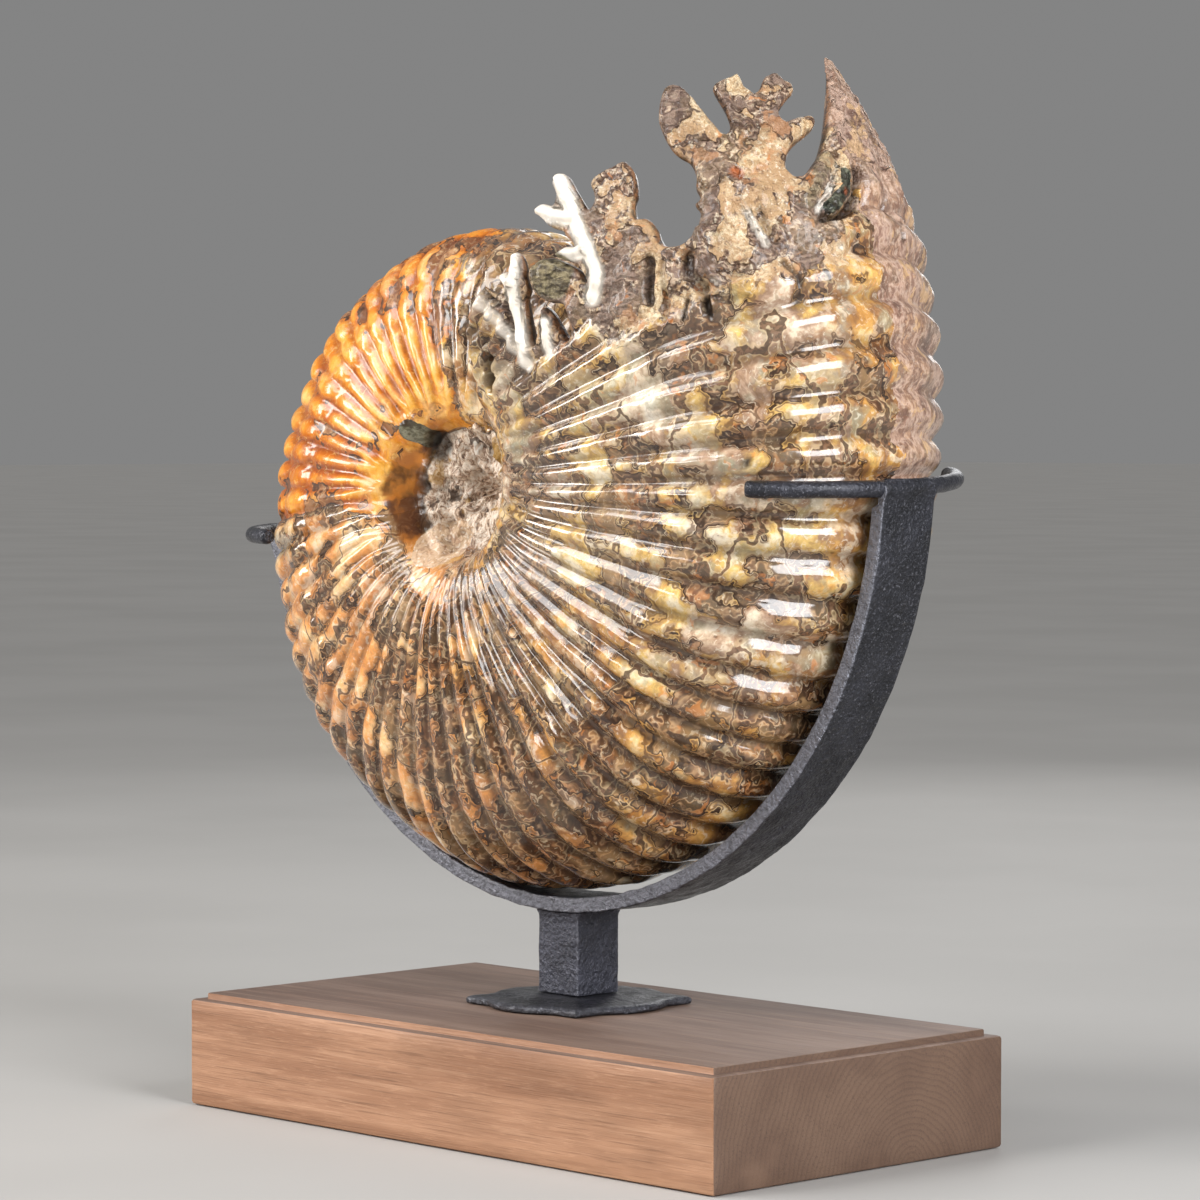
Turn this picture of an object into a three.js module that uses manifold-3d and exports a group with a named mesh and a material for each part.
// A polished fossil ammonite resting in a forged iron half-ring cradle on a wooden block.
// Millimetres, +Z up. X runs along the length of the block, Y across it (the shown flank of
// the shell faces -Y). The origin is the centre of the block's underside.
import * as THREE from 'three';
import * as BufferGeometryUtils from 'three/addons/utils/BufferGeometryUtils.js';
import Module from 'manifold-3d';

// ---------------------------------------------------------------- driving dimensions (mm)
const GAP = 0.3;                       // clearance between pieces that touch

const BASE_LENGTH = 330;               // wooden block, along X
const BASE_DEPTH = 173;                // along Y
const BASE_HEIGHT = 50;                // to the top of the raised panel
const PANEL_INSET = 5.5;               // rebate round the top
const PANEL_RISE = 2.8;
const BASE_EDGE = 1.6;                 // eased edges

const POST_X = -16, POST_Y = 12;       // the post stands a little off the block's centre
const POST_SIDE = 25.4;                // square bar
const POST_CHAMFER = 1.2;
const PLATE_THICKNESS = 5;
const PLATE_TIP = 49.5;                // centre to pointed corner
const PLATE_LOBE = 42;                 // centre to the middle of a side lobe
const PLATE_NECK = 40.5;               // centre to the hollow beside a corner

const RING_Z = 287;                    // centre of the half ring
const RING_OUTER = 195;
const STRAP_THICKNESS = 6.5;
const STRAP_WIDTH = 31;
const RIGHT_END = -4.3;                // strap ends, degrees below the ring's centre line
const LEFT_END = 190.9;

const ROD_RADIUS = 3.5;                // round bar of the two yokes
const RIGHT_YOKE = { x: 115.3, radius: 78.1, z: -8.1, from: -52.5, to: 58, slopeX: -0.05, slopeY: 0.034 };
const LEFT_YOKE = { x: -127, radius: 61.5, z: -31.4, from: -78, to: 70, slopeX: 0.0, slopeY: 0.03 };

const BOLT_RADIUS = 4;                 // M8 bolt from below
const BOLT_HEAD_FLATS = 13;
const BOLT_HEAD_HEIGHT = 5.3;
const BORE_RADIUS = 4.6;
const COUNTERBORE_RADIUS = 11.5;
const COUNTERBORE_DEPTH = 12;
const WASHER_RADIUS = 10.5;
const WASHER_THICKNESS = 2;
const THREAD_DEPTH = 16;               // bolt in the post

// ammonite: planispiral shell, coil axis along Y
const COIL_X = -32, COIL_Z = -9.8;     // coil axis, from the ring's centre
const WHORL_EXPANSION = 2.393;         // growth of the radius in one turn
const REF_ANGLE = 97.9, REF_RADIUS = 114.2;
const END_ANGLE = 392;                 // broken end of the last whorl
// crests of the ribs round the last turn, degrees at the outer edge
const CRESTS = [
  32, 41, 50, 58.8, 67.5, 76, 84.4, 92.6, 100.8, 108.8, 116, 122.8, 129, 135, 140.8, 146.8, 153, 159.4, 165.7, 171.6,
  177.9, 184, 190.5, 196.6, 202.9, 209.3, 215.6, 222, 228.3, 234.6, 241, 247.3, 253.7, 260, 266.3, 272.1, 278.1, 284.4,
  290.6, 296.8, 302.9, 308.8, 314.5, 319.9, 325, 329.6, 334.3, 339.3, 344.4, 349.7, 354.7, 359.3, 363.8, 368.4, 373.1,
  378.2, 383.1, 388,
];
const FLOOR = [[0, 13], [5, 15], [8.5, 23], [16, 27.5], [25, 30]]; // umbilical floor: radius, height
const LOBE_THICKNESS = 10;

// ---------------------------------------------------------------- helpers
const wasm = await Module();
wasm.setup();

const rad = (d) => d * Math.PI / 180;

function solidFrom(geometry) {
  const g = geometry.clone();
  for (const name of Object.keys(g.attributes)) if (name !== 'position') g.deleteAttribute(name);
  const merged = BufferGeometryUtils.mergeVertices(g, 1e-4);
  const index = [];
  const src = merged.index.array;
  for (let i = 0; i < src.length; i += 3) {
    if (src[i] !== src[i + 1] && src[i + 1] !== src[i + 2] && src[i] !== src[i + 2]) index.push(src[i], src[i + 1], src[i + 2]);
  }
  return new wasm.Manifold(new wasm.Mesh({
    numProp: 3,
    vertProperties: Float32Array.from(merged.attributes.position.array),
    triVerts: Uint32Array.from(index),
  }));
}

function geometryFrom(solid) {
  const mesh = solid.getMesh();
  const g = new THREE.BufferGeometry();
  const n = mesh.vertProperties.length / mesh.numProp;
  const pos = new Float32Array(n * 3);
  for (let i = 0; i < n; i++) for (let k = 0; k < 3; k++) pos[3 * i + k] = mesh.vertProperties[i * mesh.numProp + k];
  g.setAttribute('position', new THREE.BufferAttribute(pos, 3));
  g.setIndex(new THREE.BufferAttribute(Uint32Array.from(mesh.triVerts), 1));
  g.computeVertexNormals();
  return g;
}

function volumeOf(positions, index) {
  let v = 0;
  for (let i = 0; i < index.length; i += 3) {
    const [a, b, c] = [index[i], index[i + 1], index[i + 2]].map((k) => positions[k]);
    v += (a[0] * (b[1] * c[2] - b[2] * c[1]) - a[1] * (b[0] * c[2] - b[2] * c[0]) + a[2] * (b[0] * c[1] - b[1] * c[0])) / 6;
  }
  return v;
}

// closed triangle set -> BufferGeometry with its faces pointing out
function closedGeometry(positions, index) {
  const flip = volumeOf(positions, index) < 0;
  const idx = index.slice();
  if (flip) for (let i = 0; i < idx.length; i += 3) [idx[i + 1], idx[i + 2]] = [idx[i + 2], idx[i + 1]];
  const g = new THREE.BufferGeometry();
  g.setAttribute('position', new THREE.BufferAttribute(new Float32Array(positions.flat()), 3));
  g.setIndex(idx);
  return g;
}

function cylinder(radius, z0, z1, x, y, sides = 32, turn = 0) {
  const g = new THREE.CylinderGeometry(radius, radius, z1 - z0, sides);
  g.rotateY(turn);
  g.rotateX(Math.PI / 2);
  g.translate(x, y, (z0 + z1) / 2);
  return g;
}

function chamferedPrism(halfX, halfY, chamfer) {
  const s = new THREE.Shape();
  s.moveTo(-halfX + chamfer, -halfY);
  s.lineTo(halfX - chamfer, -halfY);
  s.lineTo(halfX, -halfY + chamfer);
  s.lineTo(halfX, halfY - chamfer);
  s.lineTo(halfX - chamfer, halfY);
  s.lineTo(-halfX + chamfer, halfY);
  s.lineTo(-halfX, halfY - chamfer);
  s.lineTo(-halfX, -halfY + chamfer);
  s.closePath();
  return s;
}

const iron = (r = 0.55) => new THREE.MeshStandardMaterial({ color: 0x26272b, roughness: r, metalness: 0.85 });

// ---------------------------------------------------------------- ammonite surface
const whorl = (phi) => REF_RADIUS * Math.pow(WHORL_EXPANSION, (phi - REF_ANGLE) / 360);
const bell = (x, mid, width) => Math.exp(-(((x - mid) / width) ** 2));
const umbilicus = (phi) => 1 + 0.25 * bell(phi, 160, 55) - 0.14 * bell(phi, 295, 40) + 0.05 * bell(phi, 385, 30);
const inflation = (phi) => 1 + 0.05 * bell(phi, 190, 50);
// forward sweep of the ribs towards the umbilicus, degrees
const sweep = (t) => { const a = Math.max(0, 0.55 - Math.max(t, 0.24)); return 80 * a * a / (0.3 + a); };

// near-side section at one angle: [distance from the coil axis, height towards the flank]
function sectionKnots(phi) {
  const r = whorl(phi), s = umbilicus(phi), w = inflation(phi) * r;
  const blend = (k) => 1 + (s - 1) * k;
  const knots = FLOOR.map((p) => [p[0], p[1]]);
  const x6 = Math.max(0.215 * s * r, 26.5), y6 = Math.max(0.268 * w, 29);
  knots.push([0.36 * 25 + 0.64 * x6, 0.5 * 30 + 0.5 * y6]);
  knots.push([x6, y6]);
  knots.push([Math.max(0.25 * s * r, x6 + 2), 0.305 * w]);
  knots.push([0.31 * blend(0.7) * r, 0.331 * w]);
  knots.push([0.39 * blend(0.4) * r, 0.344 * w]);
  knots.push([0.48 * blend(0.15) * r, 0.348 * w]);
  knots.push([0.57 * r, 0.345 * w], [0.652 * r, 0.336 * w]);
  for (const a of [78, 58, 39, 19.5, 0]) knots.push([(0.67 + 0.33 * Math.cos(rad(a))) * r, 0.33 * Math.sin(rad(a)) * w]);
  return knots;
}
const LAST = 17;

// t runs 0 (near pole) .. 1 (venter) .. 2 (far pole)
function sectionPoint(phi, t) {
  const knots = sectionKnots(phi);
  const near = t <= 1, tt = near ? t : 2 - t;
  const u = Math.min(Math.max(tt, 0), 1) * LAST;
  const i = Math.min(Math.floor(u), LAST - 1), f = u - i;
  const at = (j) => {
    if (j < 0) return [-knots[-j][0], knots[-j][1]];
    if (j > LAST) return [knots[2 * LAST - j][0], -knots[2 * LAST - j][1]];
    return knots[j];
  };
  const [a, b, c, d] = [at(i - 1), at(i), at(i + 1), at(i + 2)];
  const out = [0, 1].map((k) => 0.5 * (2 * b[k] + (c[k] - a[k]) * f + (2 * a[k] - 5 * b[k] + 4 * c[k] - d[k]) * f * f + (3 * b[k] - a[k] - 3 * c[k] + d[k]) * f * f * f));
  return near ? out : [out[0], -out[1]];
}

const place = (phi, rho, y) => [POST_X + COIL_X + rho * Math.cos(rad(phi)), POST_Y - y, RING_Z + COIL_Z + rho * Math.sin(rad(phi))];

const ramp = (a, b, x) => { const u = Math.min(1, Math.max(0, (x - a) / (b - a))); return u * u * (3 - 2 * u); };
// 1 on the smaller half of the turn, where the ribs carry tubercles, 0 on the larger half
const early = (phi) => 1 - ramp(205, 265, phi);

function ribHeight(phi, t) {
  const tt = t <= 1 ? t : 2 - t;
  const table = [[0, 0], [0.36, 0], [0.43, 0.8], [0.5, 2.3], [0.6, 2.8], [0.75, 3.5], [0.86, 4.1], [1, 3.7]];
  let k = 0;
  while (k < table.length - 2 && tt > table[k + 1][0]) k++;
  const [x0, y0] = table[k], [x1, y1] = table[k + 1];
  return (y0 + (y1 - y0) * Math.min(1, Math.max(0, (tt - x0) / (x1 - x0)))) * Math.pow(whorl(phi) / 217, 0.9);
}

// three rows of tubercles on each rib: [row, height]
const TUBERCLES = [[0.765, 0.55], [0.86, 1], [0.955, 0.95]];

// outward height of a column of the surface, from the smooth shell
function relief(phi, t, crest) {
  const tt = t <= 1 ? t : 2 - t, h = ribHeight(phi, t), e = early(phi);
  if (!crest) return h * (-0.72 + 0.32 * e);
  const free = e * ramp(0.67, 0.74, tt);
  const row = TUBERCLES.find(([at]) => Math.abs(at - tt) < 0.012);
  const dome = row ? row[1] * (e + 0.26 * (1 - e)) * 4 * Math.pow(whorl(phi) / 140, 0.6) : 0;
  return h * (0.28 + 0.32 * e) * (1 - 0.8 * free) + dome;
}

// outward direction of the section in its own plane
function sectionNormal(phi, t) {
  const e = 0.012, a = sectionPoint(phi, Math.max(0, t - e)), b = sectionPoint(phi, Math.min(2, t + e));
  const dx = b[0] - a[0], dy = b[1] - a[1], l = Math.hypot(dx, dy) || 1;
  return [-dy / l, dx / l];
}

function ammoniteBody() {
  const near = [0, 2.2, 4, 5, 6, 7, 8.2, 9.6, 11, 12.2, 13, 13.8, 14.6, 15.4, 16.2, 17].map((k) => k / 17);
  const rows = [...near, ...near.slice(0, -1).reverse().map((t) => 2 - t)];
  // columns: each crest and the groove after it, the last one at the broken end
  const columns = [];
  CRESTS.forEach((c, i) => {
    const next = i + 1 < CRESTS.length ? CRESTS[i + 1] : END_ANGLE;
    columns.push([c, true], [(c + next) / 2, false]);
  });
  columns.push([END_ANGLE, true]);
  const n = columns.length - 1;
  const positions = [], index = [];
  const grid = [];
  for (let j = 0; j < rows.length; j++) {
    const t = rows[j], tt = t <= 1 ? t : 2 - t, line = [];
    const stride = tt * 17 <= 4.01 ? 6 : (tt * 17 <= 5.01 ? 3 : 1);
    for (let i = 0; i <= n; i++) {
      const [angle, crest] = columns[Math.min(n, Math.round(i / stride) * stride)];
      const phi = angle + sweep(tt);
      const [rho, y] = sectionPoint(phi, t);
      const h = relief(phi, t, crest);
      const m = sectionNormal(phi, t);
      line.push(positions.length);
      positions.push(place(phi, tt === 0 ? 0 : rho + m[0] * h, y + m[1] * h));
    }
    grid.push(line);
  }
  const quad = (a, b, c, d) => index.push(a, b, c, a, c, d);
  for (let j = 0; j < rows.length - 1; j++) for (let i = 0; i < n; i++) quad(grid[j][i], grid[j][i + 1], grid[j + 1][i + 1], grid[j + 1][i]);
  // septal end face: from the small start section to the large end section, dished
  const steps = 4, cap = [];
  for (let j = 0; j < rows.length; j++) {
    const t = rows[j], tt = t <= 1 ? t : 2 - t;
    const phi = END_ANGLE + sweep(tt);
    const S = positions[grid[j][0]], B = positions[grid[j][n]];
    const small = [Math.hypot(S[0] - POST_X - COIL_X, S[2] - RING_Z - COIL_Z), POST_Y - S[1]];
    const big = [Math.hypot(B[0] - POST_X - COIL_X, B[2] - RING_Z - COIL_Z), POST_Y - B[1]];
    const line = [grid[j][0]];
    for (let k = 1; k < steps; k++) {
      const w = k / steps;
      const flute = tt * 17 <= 4.01 ? 0 : 3.2 * Math.sin(Math.PI * w) * (1 + 0.45 * Math.cos(t * 17));
      const p = place(phi - flute, small[0] + (big[0] - small[0]) * w, small[1] + (big[1] - small[1]) * w);
      line.push(positions.length);
      positions.push(tt * 17 <= 4.01 ? B : p);
    }
    line.push(grid[j][n]);
    cap.push(line);
  }
  for (let j = 0; j < rows.length - 1; j++) for (let k = 0; k < steps; k++) quad(cap[j][k + 1], cap[j][k], cap[j + 1][k], cap[j + 1][k + 1]);
  return closedGeometry(positions, index);
}

// a lobe left standing at the broken end: outline in [angle, t], bent to the whorl's surface
function lobe(outline, thickness) {
  const flat = outline.map(([phi, t]) => new THREE.Vector2((phi - END_ANGLE) * 4, t * 190));
  const faces = THREE.ShapeUtils.triangulateShape(flat, []);
  const outer = [], inner = [];
  for (const [phi, t] of outline) {
    const tt = t <= 1 ? t : 2 - t;
    const [rho, y] = sectionPoint(phi, t);
    const m = sectionNormal(phi, t);
    const sink = 0.8 + 3.2 * Math.min(1, Math.max(0, (END_ANGLE + sweep(tt) + 1.2 - phi) / 3));
    const taper = Math.min(1, Math.max(0.55, 1 - (phi - END_ANGLE - sweep(tt)) / 40));
    outer.push(place(phi, rho - m[0] * sink, y - m[1] * sink));
    const d = sink + thickness * taper;
    inner.push(place(phi, rho - m[0] * d, y - m[1] * d));
  }
  const positions = [...outer, ...inner], index = [], n = outline.length;
  for (const [a, b, c] of faces) {
    index.push(a, b, c);
    index.push(n + a, n + c, n + b);
  }
  const area = THREE.ShapeUtils.area(flat);
  for (let i = 0; i < n; i++) {
    const j = (i + 1) % n;
    if (area > 0) index.push(j, i, n + i, j, n + i, n + j);
    else index.push(i, j, n + i, j, n + j, n + i);
  }
  return closedGeometry(positions, index);
}

const BIG_LOBE = [[387.5, 0.83], [392.6, 0.831], [395.1, 0.833], [397.9, 0.845], [399.6, 0.845], [401.1, 0.838], [404.2, 0.836], [407.2, 0.845], [408.8, 0.862], [407.7, 0.874], [404.6, 0.879], [400.8, 0.887], [401.4, 0.895], [404.3, 0.898], [406.6, 0.905], [406.6, 0.926], [404.9, 0.927], [404.1, 0.931], [404.9, 0.945], [405.5, 0.961], [404.0, 0.973], [402.0, 0.955], [400.2, 0.944], [400.4, 0.970], [399.3, 0.976], [397.9, 0.955], [396.2, 0.934], [394.1, 0.931], [392.0, 0.940], [387.5, 0.94]];
const MIDDLE_LOBE = [[388, 0.695], [395.3, 0.686], [400.1, 0.674], [402.0, 0.683], [404.5, 0.680], [407.1, 0.672], [410.7, 0.671], [410.3, 0.686], [408.6, 0.698], [411.0, 0.71], [410.9, 0.725], [408.9, 0.735], [404.3, 0.729], [403.6, 0.742], [405.9, 0.762], [405.2, 0.788], [402.6, 0.795], [399.7, 0.781], [396.9, 0.785], [394.0, 0.793], [388, 0.79]];
const INNER_LOBE = [[391, 0.512], [403.3, 0.533], [410.9, 0.543], [414.2, 0.5405], [414.0, 0.55], [408.3, 0.567], [410.4, 0.579], [410.0, 0.612], [408.5, 0.619], [406.2, 0.606], [403.2, 0.6], [398.7, 0.587], [391, 0.585]];
const VENTER_SPIKE = [[388, 0.945], [394.4, 0.955], [396.5, 0.971], [398.5, 0.988], [401.0, 1.002], [404.0, 1.019], [406.7, 1.034], [408.2, 1.0524], [407.0, 1.059], [403.6, 1.069], [400.8, 1.09], [398.2, 1.12], [395.6, 1.16], [392.5, 1.2], [388, 1.21]];
// the hidden flank's lobes are lower stumps of the same forms
const farStump = (outline, rise) => outline.map(([phi, t]) => [phi < END_ANGLE ? phi : END_ANGLE + (phi - END_ANGLE) * rise, 2 - t]).reverse();

let ammoniteSolid = solidFrom(ammoniteBody());
for (const [outline, thickness] of [
  [BIG_LOBE, LOBE_THICKNESS], [MIDDLE_LOBE, LOBE_THICKNESS], [INNER_LOBE, LOBE_THICKNESS * 0.8], [VENTER_SPIKE, LOBE_THICKNESS * 1.1],
  [farStump(BIG_LOBE.map(([p, t]) => [p, Math.min(t, 0.78 + (t - 0.83) * 0.8)]), 0.35), LOBE_THICKNESS],
  [farStump(MIDDLE_LOBE, 0.35), LOBE_THICKNESS],
]) ammoniteSolid = ammoniteSolid.add(solidFrom(lobe(outline, thickness)));
const ammonite = new THREE.Mesh(geometryFrom(ammoniteSolid), new THREE.MeshStandardMaterial({ color: 0xb98f5c, roughness: 0.22, metalness: 0 }));
ammonite.name = 'ammonite';

// ---------------------------------------------------------------- cradle strap: half ring of flat bar
function ringStrap() {
  const s = new THREE.Shape();
  s.absarc(0, 0, RING_OUTER, rad(LEFT_END), rad(360 + RIGHT_END), false);
  s.absarc(0, 0, RING_OUTER - STRAP_THICKNESS, rad(360 + RIGHT_END), rad(LEFT_END), true);
  s.closePath();
  const g = new THREE.ExtrudeGeometry(s, { depth: STRAP_WIDTH, bevelEnabled: false, curveSegments: 56 });
  g.rotateX(Math.PI / 2);
  g.translate(POST_X, POST_Y + STRAP_WIDTH / 2, RING_Z);
  return g;
}
const strap = new THREE.Mesh(ringStrap(), iron(0.5));
strap.name = 'cradle_strap';

// ---------------------------------------------------------------- yokes: round bar bent round the shell's outer edge
function yoke(spec, facing) {
  const points = [];
  for (let i = 0; i <= 14; i++) {
    const a = rad(spec.from + (spec.to - spec.from) * i / 14);
    const x = spec.x + facing * spec.radius * Math.cos(a), y = spec.radius * Math.sin(a);
    points.push(new THREE.Vector3(x, y, spec.z + spec.slopeX * (x - facing * 190) + spec.slopeY * y));
  }
  const path = new THREE.CatmullRomCurve3(points, false, 'centripetal');
  const section = new THREE.Shape();
  for (let k = 0; k < 10; k++) {
    const a = k / 10 * Math.PI * 2;
    if (k === 0) section.moveTo(ROD_RADIUS * Math.cos(a), ROD_RADIUS * Math.sin(a));
    else section.lineTo(ROD_RADIUS * Math.cos(a), ROD_RADIUS * Math.sin(a));
  }
  section.closePath();
  return new THREE.ExtrudeGeometry(section, { steps: 18, extrudePath: path, bevelEnabled: false });
}
const rightYoke = new THREE.Mesh(yoke(RIGHT_YOKE, 1), iron(0.55));
rightYoke.name = 'right_yoke';
rightYoke.position.set(POST_X, POST_Y, RING_Z);
const leftYoke = new THREE.Mesh(yoke(LEFT_YOKE, -1), iron(0.55));
leftYoke.name = 'left_yoke';
leftYoke.position.set(POST_X, POST_Y, RING_Z);

// ---------------------------------------------------------------- foot plate: ogee-sided square with pointed corners
function plateOutline() {
  const s = new THREE.Shape(), n = 72;
  for (let i = 0; i < n; i++) {
    const a = i / n * Math.PI * 2;
    const off = Math.abs(((a * 180 / Math.PI) % 90) - 45);          // degrees from the nearest corner
    const tip = Math.max(0, 1 - off / 17);
    const side = 0.5 - 0.5 * Math.cos(Math.PI * Math.min(1, Math.max(0, (off - 12) / 33)));
    const r = PLATE_NECK + (PLATE_LOBE - PLATE_NECK) * side + (PLATE_TIP - PLATE_NECK) * Math.pow(tip, 1.6);
    if (i === 0) s.moveTo(r * Math.cos(a), r * Math.sin(a)); else s.lineTo(r * Math.cos(a), r * Math.sin(a));
  }
  s.closePath();
  return s;
}
const plateShape = plateOutline();
const plateHole = new THREE.Path();
plateHole.absarc(0, 0, BORE_RADIUS, 0, Math.PI * 2, true);
plateShape.holes.push(plateHole);
const plateZ = BASE_HEIGHT + GAP;
const plateGeometry = new THREE.ExtrudeGeometry(plateShape, { depth: PLATE_THICKNESS, bevelEnabled: false, curveSegments: 8 });
const footPlate = new THREE.Mesh(plateGeometry, iron(0.4));
footPlate.name = 'foot_plate';
footPlate.position.set(POST_X, POST_Y, plateZ);

// ---------------------------------------------------------------- post: square bar, hollow below for the bolt, saddled to the ring above
const postBottom = plateZ + PLATE_THICKNESS + GAP;
const postTop = RING_Z - RING_OUTER + 3;
const postBlank = new THREE.ExtrudeGeometry(chamferedPrism(POST_SIDE / 2, POST_SIDE / 2, POST_CHAMFER), { depth: postTop - postBottom, bevelEnabled: false });
postBlank.translate(POST_X, POST_Y, postBottom);
const saddle = new THREE.CylinderGeometry(RING_OUTER + GAP, RING_OUTER + GAP, 60, 224);
saddle.translate(POST_X, POST_Y, RING_Z);
const tappedHole = cylinder(BOLT_RADIUS + GAP, postBottom - 5, postBottom + THREAD_DEPTH, POST_X, POST_Y, 16);
const postSolid = solidFrom(postBlank).subtract(solidFrom(saddle)).subtract(solidFrom(tappedHole));
const post = new THREE.Mesh(geometryFrom(postSolid), iron(0.6));
post.name = 'post';

// ---------------------------------------------------------------- wooden block with a raised top panel
function eased(lx, ly, z0, z1, edge) {
  const s = new THREE.Shape();
  s.moveTo(-lx / 2 + edge, -ly / 2 + edge);
  s.lineTo(lx / 2 - edge, -ly / 2 + edge);
  s.lineTo(lx / 2 - edge, ly / 2 - edge);
  s.lineTo(-lx / 2 + edge, ly / 2 - edge);
  s.closePath();
  const g = new THREE.ExtrudeGeometry(s, { depth: z1 - z0 - 2 * edge, bevelEnabled: true, bevelThickness: edge, bevelSize: edge, bevelSegments: 2 });
  g.translate(0, 0, z0 + edge);
  return g;
}
const block = solidFrom(eased(BASE_LENGTH, BASE_DEPTH, 0, BASE_HEIGHT - PANEL_RISE, BASE_EDGE));
const panel = new THREE.BoxGeometry(BASE_LENGTH - 2 * PANEL_INSET, BASE_DEPTH - 2 * PANEL_INSET, 20);
panel.translate(0, 0, BASE_HEIGHT - 10);
const boltBore = cylinder(BORE_RADIUS, -5, BASE_HEIGHT + 5, POST_X, POST_Y, 24);
const counterbore = cylinder(COUNTERBORE_RADIUS, -5, COUNTERBORE_DEPTH, POST_X, POST_Y, 32);
const baseSolid = block.add(solidFrom(panel)).subtract(solidFrom(boltBore)).subtract(solidFrom(counterbore));
const woodBase = new THREE.Mesh(geometryFrom(baseSolid), new THREE.MeshStandardMaterial({ color: 0xae8a6b, roughness: 0.7, metalness: 0 }));
woodBase.name = 'wood_base';

// ---------------------------------------------------------------- bolt and washer, in the counterbore
const washerTop = COUNTERBORE_DEPTH - GAP;
const washerShape = new THREE.Shape();
washerShape.absarc(0, 0, WASHER_RADIUS, 0, Math.PI * 2, false);
const washerHole = new THREE.Path();
washerHole.absarc(0, 0, BORE_RADIUS, 0, Math.PI * 2, true);
washerShape.holes.push(washerHole);
const washer = new THREE.Mesh(
  new THREE.ExtrudeGeometry(washerShape, { depth: WASHER_THICKNESS, bevelEnabled: false, curveSegments: 14 }),
  new THREE.MeshStandardMaterial({ color: 0x8c8f92, roughness: 0.45, metalness: 1 }),
);
washer.name = 'bolt_washer';
washer.position.set(POST_X, POST_Y, washerTop - WASHER_THICKNESS);

const headTop = washerTop - WASHER_THICKNESS - GAP;
const boltHead = cylinder(BOLT_HEAD_FLATS / Math.sqrt(3), headTop - BOLT_HEAD_HEIGHT, headTop, POST_X, POST_Y, 6);
const boltShank = cylinder(BOLT_RADIUS, headTop - 1, postBottom + THREAD_DEPTH - 1.5, POST_X, POST_Y, 16);
const bolt = new THREE.Mesh(
  geometryFrom(solidFrom(boltHead).add(solidFrom(boltShank))),
  new THREE.MeshStandardMaterial({ color: 0x8c8f92, roughness: 0.4, metalness: 1 }),
);
bolt.name = 'fixing_bolt';

// ---------------------------------------------------------------- assembly
const stand = new THREE.Group();
stand.add(woodBase, footPlate, post, strap, rightYoke, leftYoke, washer, bolt);
const model = new THREE.Group();
model.add(stand, ammonite);

export default model;
